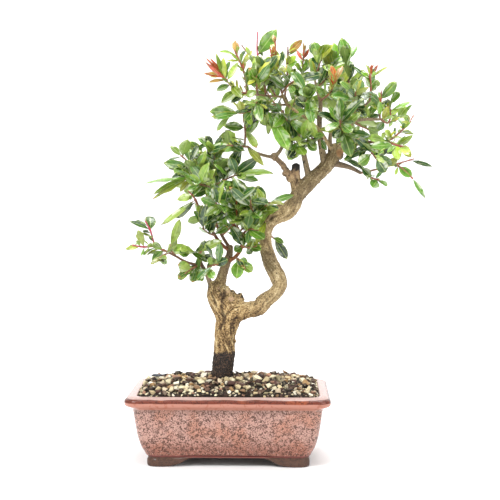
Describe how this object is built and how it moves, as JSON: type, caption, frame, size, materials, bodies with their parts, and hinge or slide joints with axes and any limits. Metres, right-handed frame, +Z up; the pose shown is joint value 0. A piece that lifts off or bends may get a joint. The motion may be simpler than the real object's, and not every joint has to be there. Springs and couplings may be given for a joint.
{
  "type": "pomegranate bonsai",
  "caption": "Small pomegranate bonsai with an S-bent trunk, callus burl and glossy leafy shoots, in a speckled pink glazed rectangular pot on cut feet, filled with soil and grit.",
  "frame": {"origin": "on the table plane, under the middle of the whole object's box seen from above", "axes": "+X to the tree's right as seen from its front, +Y to its back, +Z up along the tree"},
  "size_m": [0.307, 0.142, 0.439],
  "materials": {
    "glazed_stoneware": "gloss",
    "mesh_plastic": "matte",
    "clip_wire": "satin",
    "potting_soil": "matte",
    "grit": "matte",
    "dark_bark": "matte",
    "bark": "matte",
    "leafy_shoot": "satin"
  },
  "bodies": {
    "root": {"pot": "glazed_stoneware", "drain_mesh_left": "mesh_plastic", "drain_mesh_right": "mesh_plastic", "mesh_clip_left": "clip_wire", "mesh_clip_right": "clip_wire", "soil": "potting_soil", "gravel_layer": "grit", "bark_chip": "dark_bark", "trunk": "bark", "shoot_crown_back_left": "leafy_shoot", "shoot_crown_back_mid": "leafy_shoot", "shoot_crown_back_right": "leafy_shoot", "shoot_crown_back_top": "leafy_shoot", "shoot_crown_fork_front": "leafy_shoot", "shoot_crown_fork_right": "leafy_shoot", "shoot_crown_front": "leafy_shoot", "shoot_crown_heart": "leafy_shoot", "shoot_crown_heart_left": "leafy_shoot", "shoot_crown_heart_top": "leafy_shoot", "shoot_crown_left_glossy": "leafy_shoot", "shoot_crown_left_long": "leafy_shoot", "shoot_crown_left_low": "leafy_shoot", "shoot_crown_left_red": "leafy_shoot", "shoot_crown_left_twig": "leafy_shoot", "shoot_crown_mid_brown": "leafy_shoot", "shoot_crown_mid_red": "leafy_shoot", "shoot_crown_mid_right": "leafy_shoot", "shoot_crown_orange": "leafy_shoot", "shoot_crown_peak": "leafy_shoot", "shoot_crown_pink": "leafy_shoot", "shoot_crown_right_drop": "leafy_shoot", "shoot_crown_right_fork": "leafy_shoot", "shoot_crown_right_low_tip": "leafy_shoot", "shoot_crown_right_mid": "leafy_shoot", "shoot_crown_right_red": "leafy_shoot", "shoot_crown_right_tips": "leafy_shoot", "shoot_crown_right_up": "leafy_shoot", "shoot_crown_top": "leafy_shoot", "shoot_crown_top_right": "leafy_shoot", "shoot_far_left_heart": "leafy_shoot", "shoot_far_left_tips": "leafy_shoot", "shoot_left_back_low": "leafy_shoot", "shoot_left_back_right": "leafy_shoot", "shoot_left_back_top": "leafy_shoot", "shoot_left_fork_leaves": "leafy_shoot", "shoot_left_hanging": "leafy_shoot", "shoot_left_heart": "leafy_shoot", "shoot_left_long_leaves": "leafy_shoot", "shoot_left_low_fan": "leafy_shoot", "shoot_left_low_inner": "leafy_shoot", "shoot_left_low_outer": "leafy_shoot", "shoot_left_mid_front": "leafy_shoot", "shoot_left_mid_low": "leafy_shoot", "shoot_left_mid_right": "leafy_shoot", "shoot_left_outer_tip": "leafy_shoot", "shoot_left_over_trunk": "leafy_shoot", "shoot_left_pad_right": "leafy_shoot", "shoot_left_pad_top": "leafy_shoot", "shoot_left_right_tip": "leafy_shoot", "shoot_trunk_sprout": "leafy_shoot"}
  },
  "joints": []
}
